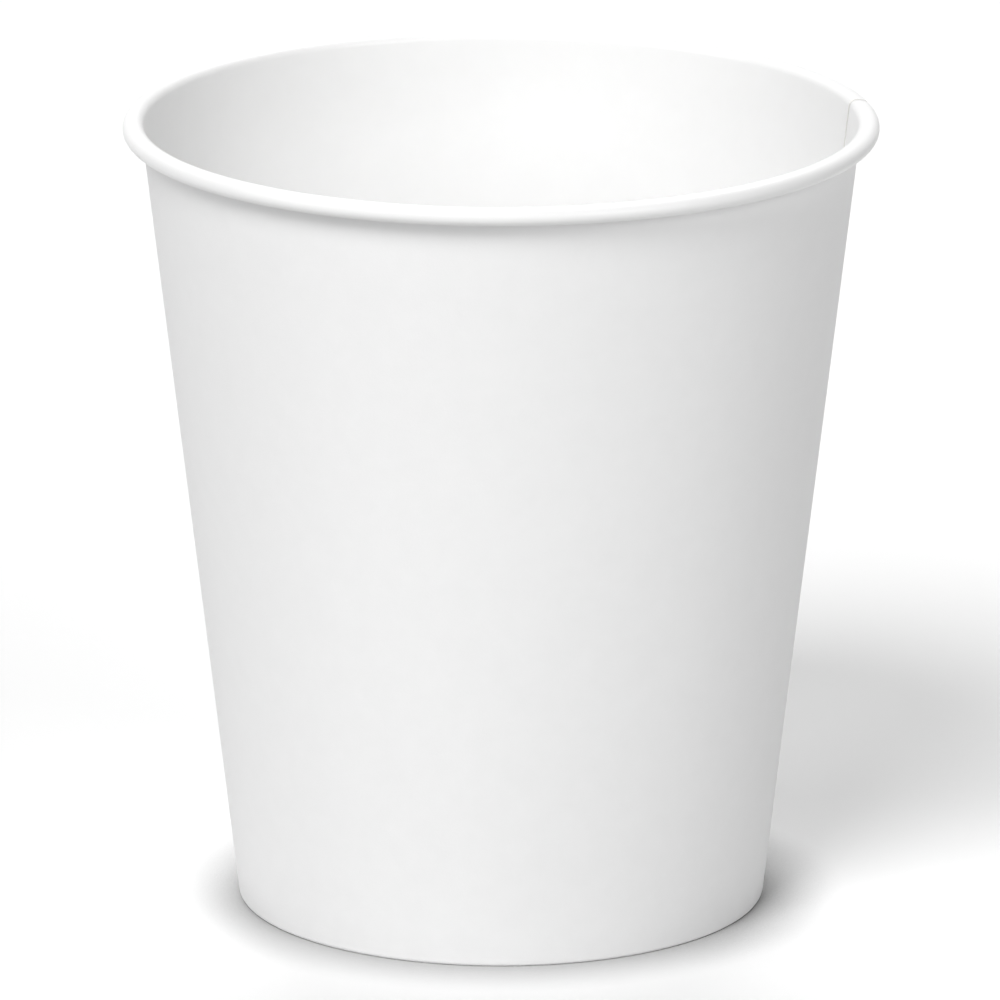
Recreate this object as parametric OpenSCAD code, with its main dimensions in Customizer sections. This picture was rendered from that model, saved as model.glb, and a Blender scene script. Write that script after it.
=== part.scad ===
// A small white paper cup for coffee, standing on Z = 0 with its axis on +Z. Millimetres.
// It is two pieces of paperboard. The side wall is one sheet: wrapped into a cone with a
// lap seam, rolled outwards at the rim, and folded inwards and up again at the foot.
// The bottom is one drawn disc, whose skirt is sealed between the wall and its folded hem.

/* [Cup] */
// Height from the table to the top of the rim
height = 78.2; // [60:0.1:110]
// Diameter across the outside of the rolled rim
rim_d = 73.5; // [62:0.1:90]
// Diameter of the wall's outer face, carried on down to the table
foot_d = 51.6; // [40:0.1:58]

/* [Side wall] */
// Thickness of the wall's board
wall_t = 0.3; // [0.2:0.01:0.36]
// Width of the lap seam at half the cup's height
lap_w = 6.5; // [4:0.1:10]
// Width over which the outer edge climbs onto the inner one
climb_w = 1; // [0.7:0.1:2]
// Depth of the fine groove that the climb leaves inside the cup
groove_d = 0.18; // [0.05:0.01:0.2]
// Direction of the seam around the cup, from +X towards +Y
seam_at = 10; // [-180:1:180]

/* [Rolled rim] */
// Width of the roll across the rim
roll_w = 2.1; // [1.9:0.05:3.2]
// Height of the roll, which is pressed a little flat
roll_h = 1.65; // [1.65:0.05:1.9]
// Space between the wall and the edge tucked into the roll
tuck_gap = 0.03; // [0.02:0.01:0.1]

/* [Foot] */
// Height of the bottom's underside above the table
recess_h = 7.5; // [5:0.1:12]
// Space between the hem's edge and the bottom's underside
hem_gap = 1.4; // [1:0.1:3]
// Width of the flat that the folded edge is pressed to
foot_flat = 0.4; // [0.2:0.05:0.5]

/* [Bottom] */
// Thickness of the bottom's board
bottom_t = 0.25; // [0.18:0.01:0.35]
// Inner radius of the bend between the disc and its skirt
bend_r = 0.5; // [0.3:0.05:0.8]
// Melted coating between two sealed faces
seal_t = 0.02; // [0.01:0.005:0.05]

/* [Hidden] */
$fn = 180;

// The centre of the roll's inner half, and the wall's slope: its outer face runs from the
// foot's corner to touch the inside of the roll
roll_r = roll_h / 2;
roll_x = rim_d / 2 - roll_w + roll_r;
roll_z = height - roll_r;
roll_from_foot = norm([roll_x - foot_d / 2, roll_z]);
taper = atan((roll_x - foot_d / 2) / roll_z) - asin((roll_r - wall_t) / roll_from_foot);
roll_flat = (roll_w - roll_h) / cos(taper);

// The fold takes the skirt between its legs, and is pressed flat where it stands
fold_r = wall_t + seal_t + bottom_t / 2;
press_d = fold_r - sqrt(fold_r ^ 2 - (foot_flat / 2) ^ 2);
fold_z = fold_r - press_d;

// The wall's frame lies on its outer face, at the level of the fold's centre
frame_z = fold_z - fold_r * sin(taper);
frame_x = foot_d / 2 + frame_z * tan(taper);
wall_len = sqrt(roll_from_foot ^ 2 - (roll_r - wall_t) ^ 2) - frame_z / cos(taper);
tuck_d = wall_t + tuck_gap;
hem_depth = 2 * fold_r;
hem_len = (recess_h - hem_gap - frame_z - hem_depth * sin(taper)) / cos(taper);

// The bend's centre: the skirt's outer face is one seal inside the wall's inner face
bend_depth = wall_t + seal_t + bottom_t + bend_r;
bend_z = recess_h - bend_r;
bend_x = frame_x + (bend_z - frame_z) * tan(taper) - bend_depth / cos(taper);
skirt_len = (bend_z - frame_z - bend_depth * sin(taper)) / cos(taper);

mid_r = (rim_d + foot_d) / 4;
lap_angle = (lap_w + climb_w) / mid_r * 180 / PI;
climb_angle = climb_w / mid_r * 180 / PI;
climb_slope = atan(wall_t / climb_w);

// How far a cutting shape reaches past what it cuts
past = 3 * wall_t;

// A ring of board, the section of a full turn
module ring(outer_r, t) {
    difference() {
        circle(outer_r);
        circle(outer_r - t);
    }
}

// The quarters of a ring that are named: 0 is between +X and +Y, and the rest follow round
module quarters(outer_r, t, names) {
    for (n = names)
        intersection() {
            ring(outer_r, t);
            rotate(90 * n) square(outer_r + past);
        }
}

// Puts a section in place from the wall's frame, where +Y runs up the wall's outer face
module on_wall() {
    translate([frame_x, frame_z]) rotate(-taper) children();
}

// The foot is pressed flat on the table
module above_table() {
    intersection() {
        children();
        square([rim_d, 2 * height]);
    }
}

// The sheet from the hem's edge, round the fold and up the wall. A layer that lies
// outside the first one is out by its thickness
module hem_and_wall(out) {
    translate([-hem_depth - out, 0]) square([wall_t, hem_len]);
    translate([-fold_r, 0]) quarters(fold_r + out, wall_t, [2, 3]);
    translate([out - wall_t, 0]) square([wall_t, wall_len]);
}

// The rim's roll, over the top, round and back under itself. A layer that lies outside on
// the wall is inside here
module rolled(out) {
    translate([roll_r - wall_t, wall_len]) {
        quarters(roll_r - out, wall_t, [1]);
        translate([0, roll_r - out - wall_t]) square([roll_flat, wall_t]);
        translate([roll_flat, 0]) quarters(roll_r - out, wall_t, [0, 3]);
        translate([0, out - roll_r]) square([roll_flat, wall_t]);
    }
}

// The last half turn of the roll, tucked in behind the first
module tucked() {
    translate([roll_r - wall_t, wall_len - tuck_d]) quarters(roll_r - tuck_d, wall_t, [2, 1]);
}

module wall_section() {
    above_table() on_wall() {
        hem_and_wall(0);
        rolled(0);
        tucked();
    }
}

// The outer edge of the sheet, which overlaps the inner one and is rolled with it
module lap_section() {
    above_table() on_wall() {
        hem_and_wall(wall_t);
        rolled(wall_t);
    }
}

// A frame on the wall's outer face at an angle round the cup: +X outwards, +Z up the wall
module on_wall_at(angle) {
    rotate(angle) translate([frame_x, 0, frame_z]) rotate([0, taper, 0]) children();
}

// The lap climbs from the wall's face over the inner edge, and ends in a cut edge
module lap() {
    difference() {
        rotate_extrude(angle = lap_angle) lap_section();
        on_wall_at(0) rotate(-climb_slope)
            translate([0, -climb_w, -fold_r]) cube([past, 3 * climb_w, wall_len]);
    }
}

// The fine groove beside the inner edge, where the sheet leaves it to climb
module groove() {
    on_wall_at(climb_angle) translate([groove_d - wall_t, 0, 0]) rotate(-climb_slope)
        translate([-past, -2 * climb_w, 0]) cube([past, 2 * climb_w, wall_len]);
}

module side_wall() {
    color("white") difference() {
        union() {
            rotate_extrude() wall_section();
            rotate(seam_at) lap();
        }
        rotate(seam_at) groove();
    }
}

module bottom_section() {
    translate([0, recess_h]) square([bend_x, bottom_t]);
    translate([bend_x, bend_z]) {
        intersection() {
            rotate(-taper) quarters(bend_r + bottom_t, bottom_t, [0, 1]);
            translate([0, -bend_r]) square(2 * bend_r + bottom_t);
        }
        rotate(-taper) translate([bend_r, -skirt_len]) square([bottom_t, skirt_len]);
    }
}

module bottom() {
    color("whitesmoke") rotate_extrude() bottom_section();
}

side_wall();
bottom();
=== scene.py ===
"""A small white paper cup for coffee: two sheets of board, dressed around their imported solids.

All lengths are in metres. The wall is one sheet, drawn as a line in the plane of radius and
height, then carried round the cup until its two edges lap over each other. The bottom is a
second sheet.
"""

import math

import bpy
import numpy as np
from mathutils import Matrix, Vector


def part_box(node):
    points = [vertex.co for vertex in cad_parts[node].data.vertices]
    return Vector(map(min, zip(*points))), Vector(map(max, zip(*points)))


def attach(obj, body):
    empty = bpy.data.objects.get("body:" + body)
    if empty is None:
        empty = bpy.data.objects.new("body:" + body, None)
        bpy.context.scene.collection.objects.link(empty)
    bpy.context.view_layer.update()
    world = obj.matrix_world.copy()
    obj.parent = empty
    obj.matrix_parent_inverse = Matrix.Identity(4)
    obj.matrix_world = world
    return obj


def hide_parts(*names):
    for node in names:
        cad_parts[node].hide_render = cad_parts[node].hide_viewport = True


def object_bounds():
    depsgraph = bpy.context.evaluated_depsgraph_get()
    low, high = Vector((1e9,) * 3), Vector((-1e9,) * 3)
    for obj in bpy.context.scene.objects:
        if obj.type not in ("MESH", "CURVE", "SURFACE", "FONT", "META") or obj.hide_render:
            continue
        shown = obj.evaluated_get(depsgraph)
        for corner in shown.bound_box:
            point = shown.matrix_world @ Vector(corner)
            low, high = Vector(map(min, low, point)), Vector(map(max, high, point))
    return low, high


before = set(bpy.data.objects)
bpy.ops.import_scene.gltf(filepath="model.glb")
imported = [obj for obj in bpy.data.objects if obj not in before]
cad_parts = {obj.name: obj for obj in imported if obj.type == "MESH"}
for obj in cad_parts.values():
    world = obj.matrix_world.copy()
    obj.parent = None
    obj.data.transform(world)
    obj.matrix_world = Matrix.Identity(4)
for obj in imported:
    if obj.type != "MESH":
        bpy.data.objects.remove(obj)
cad_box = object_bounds()

MM = 0.001
TURN = 2 * math.pi

# The board, and how it is rolled, folded and sealed
WALL_T = 0.3 * MM
BOTTOM_T = 0.25 * MM
SEAL_T = 0.02 * MM
ROLL_W = 2.1 * MM
ROLL_H = 1.65 * MM
TUCK_GAP = 0.03 * MM
BEND_R = 0.5 * MM
FOOT_R = 25.8 * MM
FOOT_FLAT = 0.4 * MM
HEM_GAP = 1.4 * MM

# The lap seam: the outer edge climbs onto the inner one, and presses it a little as it does
SEAM_AT = math.radians(10)
LAP_W = 6.5 * MM
CLIMB_W = 1.0 * MM
PRESSED_W = 1.5 * MM

# What the frame gives
RIM_R = cad_box[1][0]
HEIGHT = cad_box[1][2]
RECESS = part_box("bottom")[1][2] - BOTTOM_T

# How the made wall differs from a true cone. It is slack by a few slow waves, each with its
# share, its count round the cup, its phase, and how much it turns on the way up. The foot
# holds the wall true, up to a height where it is free
FLEX = 0.07 * MM
FREE_ABOVE = 20 * MM
SLACK_WAVES = [(0.45, 2, 0.7, 0), (0.25, 3, 2.1, 1.5), (0.18, 5, -0.8, -3), (0.12, 8, 1.3, 5)]

# The share of the room inside the roll that the outer edge takes, and the thickness to which
# it is squashed where it lies between the foot and the table
TUCK_SHARE = 0.6
SQUASH = 0.1 * MM

# The grooves of the knurling wheel, which begin above the fold and fade before the hem's edge
KNURLS = 96
KNURL_D = 0.06 * MM
KNURL_POWER = 1.5
KNURL_FROM = 0.7 * MM
KNURL_FADE_IN = 0.6 * MM
KNURL_FADE_OUT = 0.5 * MM

# How far the disc sags in its middle, the share of it that differs from side to side, and the
# phase of that
SAG = 0.12 * MM
SAG_UNEVEN = 0.4
SAG_PHASE = 0.9

# The pleats at the disc's rim, with the waves that crowd them and that make them fade, and
# where they begin: as a share of the disc's radius, and as a height on the skirt
PLEATS = 96
PLEAT_D = 0.03 * MM
CROWDING = 2
CROWDS = 7
FADING = 0.4
FADES = 11
PLEAT_ACROSS = 0.93
PLEAT_ACROSS_FADE = 0.06
PLEAT_ABOVE = 5.2 * MM
PLEAT_ABOVE_FADE = 1.2 * MM

# How finely the sheets are drawn, round the cup and then along their sections
TURN_STEPS = 576
LAP_STEPS = 14
CLIMB_STEPS = 8
HEM_STEPS = 14
FOLD_STEPS = 11
WALL_STEPS = 24
ROLL_INNER_STEPS = 9
ROLL_FLAT_STEPS = 3
ROLL_OUTER_STEPS = 15
TUCK_STEPS = 8
DISC_STEPS = 36
BEND_STEPS = 9
SKIRT_STEPS = 8
DISC_MIDDLE = 0.4 * MM
SHARP_OVER = math.radians(40)

# The board's noises: how wide their patches are, and how finely and roughly they break up
FORMATION = {"size": 2.5 * MM, "detail": 4, "roughness": 0.6}
FIBRES = {"size": 0.22 * MM, "detail": 3, "roughness": 0.65}
RIPPLES = {"size": 6 * MM, "detail": 2, "roughness": 0.5}
NOISE_LOW = 0.3
NOISE_HIGH = 0.7
BOARD_SPECULAR = 0.35

# The camera, as the photograph has it
CAMERA_FAR = 1197 * MM
CAMERA_UP = math.radians(15.69)
CAMERA_LENS = 440.6
CAMERA_SENSOR = 36
CAMERA_SIGHT = 20
CAMERA_RAISE = 0.5 * MM
CAMERA_ASIDE = -0.1 * MM

# The light: broad soft lamps far off, each with the width that it shows, its turn from +X and
# its height over the floor in degrees, and its strength
LAMPS = [
    {"name": "key", "width": 26, "turn": -116, "up": 47, "strength": 1.79},
    {"name": "side_left", "width": 34, "turn": -160, "up": 30, "strength": 0.69},
    {"name": "front", "width": 34, "turn": -95, "up": 25, "strength": 0.24},
    {"name": "side_right", "width": 34, "turn": -50, "up": 25, "strength": 0.92},
    {"name": "behind", "width": 34, "turn": 90, "up": 50, "strength": 1.52},
]

# The floor: the colour that lights the cup, the one that the camera sees, and the dark that
# the seen colour turns to in a painted contact shadow, where the cup stands just above it
FLOOR_HALF = 1.5
FLOOR_GIVEN = (0.6, 0.6, 0.6)
FLOOR_SHOWN = (1.0, 1.0, 1.0)
# Painted shadow: the dark of the painted contact shadow, how far it reaches and how many rays it
# takes
FLOOR_PAINTED_SHADE = (0.1, 0.1, 0.1)
PAINTED_SHADE_REACH = 8 * MM
PAINTED_SHADE_SAMPLES = 4

# The wall's slope, and the frame on its outer face in which its section is drawn
roll_r = ROLL_H / 2
roll_x = RIM_R - ROLL_W + roll_r
roll_z = HEIGHT - roll_r
roll_from_foot = math.hypot(roll_x - FOOT_R, roll_z)
taper = math.atan2(roll_x - FOOT_R, roll_z) - math.asin((roll_r - WALL_T) / roll_from_foot)
roll_flat = (ROLL_W - ROLL_H) / math.cos(taper)
fold_r = WALL_T + SEAL_T + BOTTOM_T / 2
frame_z = math.sqrt(fold_r**2 - (FOOT_FLAT / 2) ** 2) - fold_r * math.sin(taper)
frame_x = FOOT_R + frame_z * math.tan(taper)
wall_len = math.sqrt(roll_from_foot**2 - (roll_r - WALL_T) ** 2) - frame_z / math.cos(taper)
hem_depth = 2 * fold_r
hem_len = (RECESS - HEM_GAP - frame_z - hem_depth * math.sin(taper)) / math.cos(taper)
hem_top = frame_z + hem_depth * math.sin(taper) + hem_len * math.cos(taper)

# The seam's widths as angles, at half the cup's height
mid_r = (RIM_R + FOOT_R) / 2
climb_angle = CLIMB_W / mid_r
pressed_angle = PRESSED_W / mid_r
lap_angle = (LAP_W + CLIMB_W) / mid_r


def smooth(t):
    """Goes from 0 to 1 with no corner at either end."""
    t = np.clip(t, 0, 1)
    return t * t * (3 - 2 * t)


def straight(start, end, normal, steps):
    """A straight stretch of a section: rows of a point and the normal of the outer face."""
    t = np.linspace(0, 1, steps)[:, None]
    points = np.array(start) * (1 - t) + np.array(end) * t
    return np.hstack([points, np.tile(normal, (steps, 1))])


def arc(centre, radius, first, last, steps, side):
    """A round stretch. Side is 1 where the outer face is outside the bend, and -1 inside it."""
    a = np.radians(np.linspace(first, last, steps))
    ray = np.stack([np.cos(a), np.sin(a)], axis=1)
    return np.hstack([np.array(centre) + radius * ray, side * ray])


def joined(*stretches):
    """One section out of stretches that meet end to end."""
    return np.vstack([stretches[0]] + [s[1:] for s in stretches[1:]])


def placed(section, angle, move):
    """A section turned clockwise by an angle, then moved."""
    c, s = math.cos(angle), math.sin(angle)
    turn = np.array([[c, -s], [s, c]])
    return np.hstack([section[:, :2] @ turn + np.array(move), section[:, 2:] @ turn])


def wall_section():
    """The outer face of the wall's sheet: hem, fold, wall, roll and tucked edge."""
    curl = roll_r - WALL_T
    tuck_d = WALL_T + TUCK_GAP
    near, far = curl, curl + roll_flat
    top, under = wall_len + curl, wall_len - curl
    section = joined(
        straight((-hem_depth, hem_len), (-hem_depth, 0), (-1, 0), HEM_STEPS),
        arc((-fold_r, 0), fold_r, 180, 360, FOLD_STEPS, 1),
        straight((0, 0), (0, wall_len), (1, 0), WALL_STEPS),
        arc((near, wall_len), curl, 180, 90, ROLL_INNER_STEPS, -1),
        straight((near, top), (far, top), (0, -1), ROLL_FLAT_STEPS),
        arc((far, wall_len), curl, 90, -90, ROLL_OUTER_STEPS, -1),
        straight((far, under), (near, under), (0, 1), ROLL_FLAT_STEPS),
        arc((near, wall_len - tuck_d), curl - tuck_d, -90, -270, TUCK_STEPS, -1),
    )
    return placed(section, taper, (frame_x, frame_z))


def quads(a, b, c, d):
    """Four-sided faces from four grids of point numbers."""
    return np.stack([a, b, c, d], axis=-1).reshape(-1, 4).tolist()


def ends_of_turn(index, far):
    """The cut edges at the start and the end of a sheet that isn't a full ring."""
    start, end = index[0], index[-1]
    return quads(start[:-1] + far, start[:-1], start[1:], start[1:] + far) + quads(
        end[:-1], end[:-1] + far, end[1:] + far, end[1:]
    )


def sheet_mesh(name, outer, inner, is_disc):
    """A thin closed shell from the grids of its two faces, indexed [round, along, xyz].

    A disc's grid goes from near its middle to its edge, all the way round. The faces take
    material 0 on the outer face, 1 on the inner face and 2 on the cut edges.
    """
    rounds, alongs = outer.shape[:2]
    index = np.arange(rounds * alongs).reshape(rounds, alongs)
    if is_disc:
        index = np.vstack([index, index[:1]])
    far = rounds * alongs

    here, after = index[:-1], index[1:]
    grid = [here[:, :-1], after[:, :-1], after[:, 1:], here[:, 1:]]
    outside = quads(*grid)
    inside = quads(*[corner + far for corner in reversed(grid)])
    first, last = index[:, 0], index[:, -1]
    edges = quads(last[:-1], last[1:], last[1:] + far, last[:-1] + far)
    if is_disc:
        outside.append(first[:0:-1].tolist())
        inside.append((first[:-1] + far).tolist())
    else:
        edges += quads(first[:-1] + far, first[1:] + far, first[1:], first[:-1])
        edges += ends_of_turn(index, far)

    mesh = bpy.data.meshes.new(name)
    points = np.vstack([outer.reshape(-1, 3), inner.reshape(-1, 3)])
    mesh.from_pydata(points.tolist(), [], outside + inside + edges)
    slots = np.repeat([0, 1, 2], [len(outside), len(inside), len(edges)])
    mesh.polygons.foreach_set("material_index", slots.astype(np.int32))
    return mesh


def finish_piece(name, mesh, materials, node):
    """Makes an object of a mesh, smooth but for its cut edges, that stands for a node."""
    for material in materials:
        mesh.materials.append(material)
    mesh.shade_smooth()
    mesh.set_sharp_from_angle(angle=SHARP_OVER)
    piece = bpy.data.objects.new(name, mesh)
    bpy.context.scene.collection.objects.link(piece)
    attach(piece, "root")
    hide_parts(node)


def round_about(radius, height, angle):
    """Points in space from radius, height and the angle round the cup."""
    radius, height, angle = np.broadcast_arrays(radius, height, angle)
    return np.stack([radius * np.cos(angle), radius * np.sin(angle), height], axis=-1)


def slack(angle, height):
    """How far the wrapped board lies inside a true cone, from 0 to 1."""
    up = height / HEIGHT
    wave = sum(
        share * np.sin(count * angle + phase + turned * up)
        for share, count, phase, turned in SLACK_WAVES
    )
    return 0.5 + 0.5 * wave


def wall_angles():
    """The turns at which the wall is drawn, closer together where its edges meet."""
    start, end = SEAM_AT + climb_angle, SEAM_AT + TURN
    return np.concatenate(
        [
            np.linspace(start, start + pressed_angle, CLIMB_STEPS),
            np.arange(start + pressed_angle, end, TURN / TURN_STEPS)[1:-1],
            np.linspace(end, end + climb_angle + pressed_angle, 2 * CLIMB_STEPS),
            np.linspace(end + climb_angle + pressed_angle, end + lap_angle, LAP_STEPS)[1:],
        ]
    )[:, None]


def climbed(angle, edge):
    """How far a sheet has climbed onto the edge under it, from 0 to 1."""
    return smooth((angle - edge) / (climb_angle + pressed_angle))


def knurled(angle, radius, height, normal_r):
    """Depth of the upright grooves where the wheel presses the hem to the skirt."""
    above_fold = smooth((height - KNURL_FROM) / KNURL_FADE_IN)
    below_edge = smooth((hem_top - height) / KNURL_FADE_OUT)
    faces_in = normal_r < -0.5
    groove = (0.5 - 0.5 * np.cos(KNURLS * angle)) ** KNURL_POWER
    return KNURL_D * groove * above_fold * below_edge * faces_in * (radius < frame_x - WALL_T)


def build_wall(materials):
    """The side wall, one sheet from its inner edge at the seam round to its outer edge."""
    section = wall_section()
    angle = wall_angles()
    radius, height, normal_r, normal_z = (column[None, :] for column in section.T)

    # The outer edge lies over the inner one, which it presses thinner where it climbs. It has
    # less room in the tucked edge of the roll
    layer = WALL_T + SEAL_T
    room = np.full((1, len(section)), layer)
    room[:, -TUCK_STEPS:] = TUCK_SHARE * (roll_r - 2 * WALL_T - TUCK_GAP)
    over = layer * climbed(angle, SEAM_AT + TURN)
    pressed = layer * (1 - climbed(angle, SEAM_AT))
    flex = FLEX * slack(angle, height) * smooth(height / FREE_ABOVE)

    # At the foot the inner edge stands on the outer one, and the rest on the table
    on_lap = smooth((SEAM_AT + lap_angle - angle) / climb_angle + 1)

    def face(depth, lowest):
        away = np.minimum(over - depth, room)
        r = radius + away * normal_r - flex
        z = np.maximum(height + away * normal_z, lowest)
        return round_about(r, z, angle)

    outer = face(knurled(angle, radius, height, normal_r) + pressed, SQUASH * on_lap)
    inner = face(WALL_T, SQUASH)
    mesh = sheet_mesh("cup_wall", outer, inner, is_disc=False)
    finish_piece("cup_wall", mesh, materials, "side_wall")


def bottom_section():
    """The underside of the bottom's sheet: disc, bend and skirt."""
    bend_depth = WALL_T + SEAL_T + BOTTOM_T + BEND_R
    bend_z = RECESS - BEND_R
    bend_x = frame_x + (bend_z - frame_z) * math.tan(taper) - bend_depth / math.cos(taper)
    skirt_len = (bend_z - frame_z - bend_depth * math.sin(taper)) / math.cos(taper)
    along = np.array([-math.sin(taper), -math.cos(taper)])
    facing = np.array([-math.cos(taper), math.sin(taper)])
    skirt_top = np.array([bend_x, bend_z]) - BEND_R * facing
    return joined(
        straight((DISC_MIDDLE, RECESS), (bend_x, RECESS), (0, -1), DISC_STEPS),
        arc((bend_x, bend_z), BEND_R, 90, -math.degrees(taper), BEND_STEPS, -1),
        straight(skirt_top, skirt_top + skirt_len * along, facing, SKIRT_STEPS),
    )


def sagging(angle, across):
    """How far the slack disc hangs down, a little more to some sides than to others."""
    lean = np.cos(2 * angle + SAG_PHASE) * smooth(4 * across)
    return SAG * (1 - across**2) * (1 - SAG_UNEVEN + SAG_UNEVEN * lean)


def pleated(angle, height, across):
    """Depth of the small uneven pleats in which the disc's rim gathers as it is drawn."""
    crowded = np.sin(PLEATS * angle + CROWDING * np.sin(CROWDS * angle))
    uneven = crowded * (1 - FADING + FADING * np.sin(FADES * angle + 1))
    gathered = smooth((across - PLEAT_ACROSS) / PLEAT_ACROSS_FADE)
    gathered = gathered * smooth((height - PLEAT_ABOVE) / PLEAT_ABOVE_FADE)
    return PLEAT_D * gathered * (0.5 + 0.5 * uneven)


def build_bottom(materials):
    """The bottom, a disc drawn down into a skirt."""
    section = bottom_section()
    angle = (np.arange(TURN_STEPS) * TURN / TURN_STEPS)[:, None]
    radius, height, normal_r, normal_z = (column[None, :] for column in section.T)
    across = np.clip(radius / section[:, 0].max(), 0, 1)
    sag = sagging(angle, across)
    pleat = pleated(angle, height, across)

    def face(depth):
        r = radius - depth * normal_r - pleat
        z = height - depth * normal_z - sag - pleat
        return round_about(r, z, angle)

    mesh = sheet_mesh("cup_bottom", face(0), face(BOTTOM_T), is_disc=True)
    finish_piece("cup_bottom", mesh, materials, "bottom")


def noise(tree, place, size, detail, roughness):
    """Noise whose patches are about as wide as a size in metres."""
    node = tree.nodes.new("ShaderNodeTexNoise")
    node.inputs["Scale"].default_value = 1 / size
    node.inputs["Detail"].default_value = detail
    node.inputs["Roughness"].default_value = roughness
    tree.links.new(place, node.inputs["Vector"])
    return node.outputs["Fac"]


def ranged(tree, value, low, high):
    """A noise value spread over a range."""
    node = tree.nodes.new("ShaderNodeMapRange")
    node.inputs["From Min"].default_value = NOISE_LOW
    node.inputs["From Max"].default_value = NOISE_HIGH
    node.inputs["To Min"].default_value = low
    node.inputs["To Max"].default_value = high
    tree.links.new(value, node.inputs["Value"])
    return node.outputs["Result"]


def mixed(tree, factor, first, second):
    """Two colours mixed by a factor, each given by its numbers or by another node."""
    node = tree.nodes.new("ShaderNodeMix")
    node.data_type = "RGBA"
    for end, colour in (("A", first), ("B", second)):
        if isinstance(colour, tuple):
            node.inputs[end].default_value = (*colour, 1)
        else:
            tree.links.new(colour, node.inputs[end])
    tree.links.new(factor, node.inputs["Factor"])
    return node.outputs["Result"]


def bumped(tree, height, distance, under=None):
    """A bump of a depth in metres, laid over another bump where one is given."""
    node = tree.nodes.new("ShaderNodeBump")
    node.inputs["Distance"].default_value = distance
    tree.links.new(height, node.inputs["Height"])
    if under is not None:
        tree.links.new(under, node.inputs["Normal"])
    return node.outputs["Normal"]


def board(name, light, dark, gloss, tooth, ripple):
    """White paperboard: cloudy formation, a fine tooth of fibres, and slow ripples.

    Gloss is the lowest and highest roughness; tooth and ripple are depths in metres.
    """
    material = bpy.data.materials.new(name)
    material.use_nodes = True
    tree = material.node_tree
    shader = tree.nodes["Principled BSDF"]
    place = tree.nodes.new("ShaderNodeTexCoord").outputs["Object"]
    formation = noise(tree, place, **FORMATION)
    fibres = noise(tree, place, **FIBRES)
    colour = mixed(tree, ranged(tree, formation, 0, 1), dark, light)
    tree.links.new(colour, shader.inputs["Base Color"])
    tree.links.new(ranged(tree, formation, *gloss), shader.inputs["Roughness"])
    shader.inputs["Specular IOR Level"].default_value = BOARD_SPECULAR
    slow = bumped(tree, noise(tree, place, **RIPPLES), ripple)
    tree.links.new(bumped(tree, fibres, tooth, slow), shader.inputs["Normal"])
    return material


def board_outside():
    """Uncoated board: matt, with a little tooth."""
    return board(
        "board_outside",
        light=(0.93, 0.93, 0.93),
        dark=(0.915, 0.915, 0.915),
        gloss=(0.5, 0.62),
        tooth=0.012 * MM,
        ripple=0.02 * MM,
    )


def board_coated():
    """Board under its moisture-proof coating: smoother, with a soft gloss."""
    return board(
        "board_coated",
        light=(0.925, 0.925, 0.923),
        dark=(0.915, 0.915, 0.912),
        gloss=(0.28, 0.36),
        tooth=0.004 * MM,
        ripple=0.03 * MM,
    )


def board_cut_edge():
    """A cut through the board, where its fibres show."""
    return board(
        "board_cut_edge",
        light=(0.9, 0.89, 0.87),
        dark=(0.83, 0.82, 0.79),
        gloss=(0.75, 0.85),
        tooth=0.03 * MM,
        ripple=0,
    )


def seen_directly(tree):
    """1 for rays from the camera, from a gloss or through glass, and 0 for the rest."""
    path = tree.nodes.new("ShaderNodeLightPath")
    seen = path.outputs["Is Camera Ray"]
    for kind in ("Is Glossy Ray", "Is Transmission Ray"):
        largest = tree.nodes.new("ShaderNodeMath")
        largest.operation = "MAXIMUM"
        tree.links.new(seen, largest.inputs[0])
        tree.links.new(path.outputs[kind], largest.inputs[1])
        seen = largest.outputs[0]
    return seen


def floor_material():
    """Matt white that keeps shadows, with a painted contact shadow where the cup stands over it.

    It gives the cup less light back than it shows the camera.
    """
    material = bpy.data.materials.new("floor_white")
    material.use_nodes = True
    tree = material.node_tree
    tree.nodes.clear()
    paint = tree.nodes.new("ShaderNodeBsdfDiffuse")
    # Painted shade: ambient occlusion darkens the seen colour towards a dark grey near the cup's
    # foot, a painted contact shadow
    painted_shade_node = tree.nodes.new("ShaderNodeAmbientOcclusion")
    painted_shade_node.samples = PAINTED_SHADE_SAMPLES
    painted_shade_node.inputs["Distance"].default_value = PAINTED_SHADE_REACH
    shown = mixed(tree, painted_shade_node.outputs["AO"], FLOOR_PAINTED_SHADE, FLOOR_SHOWN)
    colour = mixed(tree, seen_directly(tree), FLOOR_GIVEN, shown)
    tree.links.new(colour, paint.inputs["Color"])
    output = tree.nodes.new("ShaderNodeOutputMaterial")
    tree.links.new(paint.outputs[0], output.inputs["Surface"])
    return material


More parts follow.
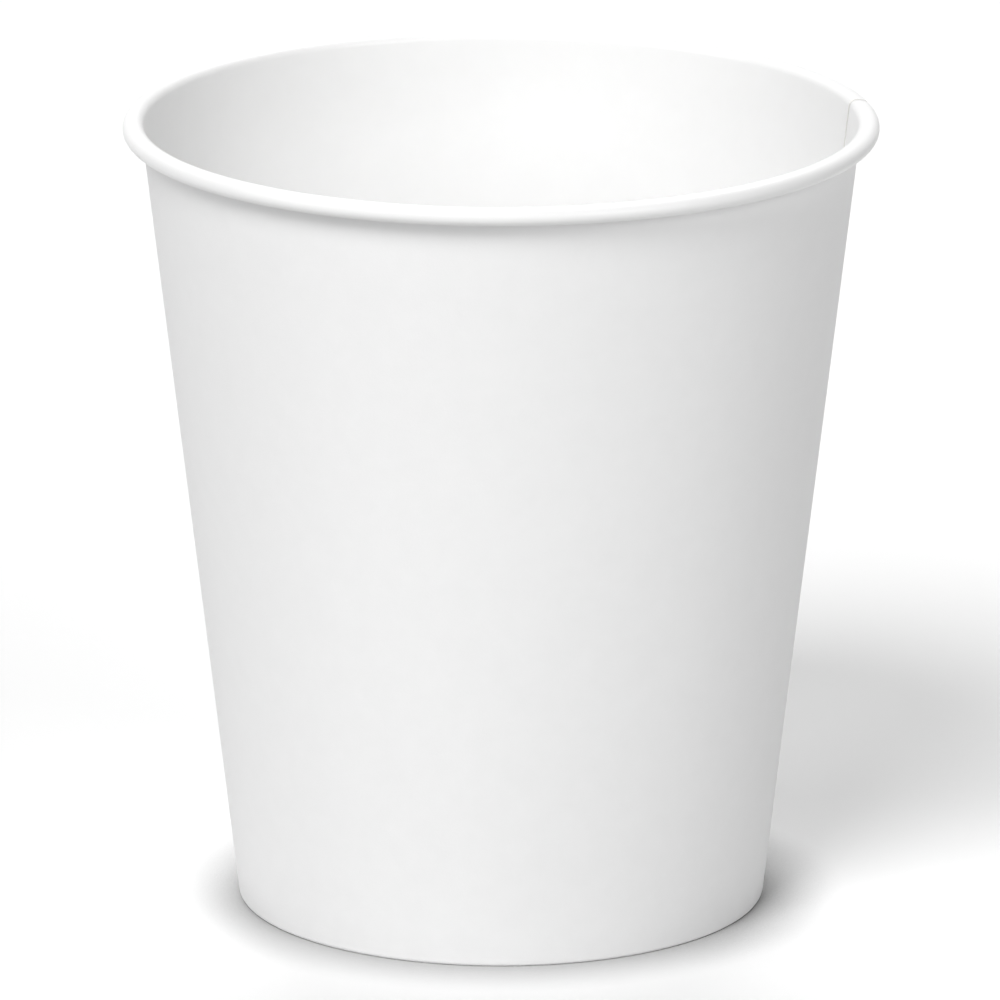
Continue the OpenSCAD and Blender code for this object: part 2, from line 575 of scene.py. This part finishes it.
def build_floor():
    """A wide white floor."""
    half = FLOOR_HALF
    mesh = bpy.data.meshes.new("floor")
    corners = [(-half, -half, 0), (half, -half, 0), (half, half, 0), (-half, half, 0)]
    mesh.from_pydata(corners, [], [(0, 1, 2, 3)])
    mesh.materials.append(floor_material())
    floor = bpy.data.objects.new("floor", mesh)
    bpy.context.scene.collection.objects.link(floor)


def build_room():
    """A dark room whose walls are plain white where they are seen."""
    world = bpy.data.worlds.new("room")
    bpy.context.scene.world = world
    world.use_nodes = True
    tree = world.node_tree
    background = tree.nodes["Background"]
    background.inputs["Color"].default_value = (1, 1, 1, 1)
    tree.links.new(seen_directly(tree), background.inputs["Strength"])


def build_lamp(name, width, turn, up, strength):
    """A soft lamp far off, at an angle round the cup and a height above the floor."""
    lamp = bpy.data.lights.new(name, "SUN")
    lamp.angle = math.radians(width)
    lamp.energy = strength
    turn, up = math.radians(turn), math.radians(up)
    back = Vector((math.cos(turn) * math.cos(up), math.sin(turn) * math.cos(up), math.sin(up)))
    holder = bpy.data.objects.new(name, lamp)
    holder.location = back
    holder.rotation_euler = (-back).to_track_quat("-Z", "Y").to_euler()
    bpy.context.scene.collection.objects.link(holder)


def build_camera():
    """A long lens from in front and a little above, as in the photograph."""
    lens = bpy.data.cameras.new("camera")
    lens.lens = CAMERA_LENS
    lens.sensor_width = CAMERA_SENSOR
    lens.clip_end = CAMERA_SIGHT
    camera = bpy.data.objects.new("camera", lens)
    target = Vector((CAMERA_ASIDE, 0, HEIGHT / 2 + CAMERA_RAISE))
    back = Vector((0, -math.cos(CAMERA_UP), math.sin(CAMERA_UP)))
    camera.location = target + CAMERA_FAR * back
    camera.rotation_euler = (-back).to_track_quat("-Z", "Y").to_euler()
    bpy.context.scene.collection.objects.link(camera)
    bpy.context.scene.camera = camera


build_camera()
faces = [board_outside(), board_coated(), board_cut_edge()]
build_wall(faces)
build_bottom(faces)
build_floor()
build_room()
for lamp in LAMPS:
    build_lamp(**lamp)
bpy.context.scene.view_settings.view_transform = "Standard"
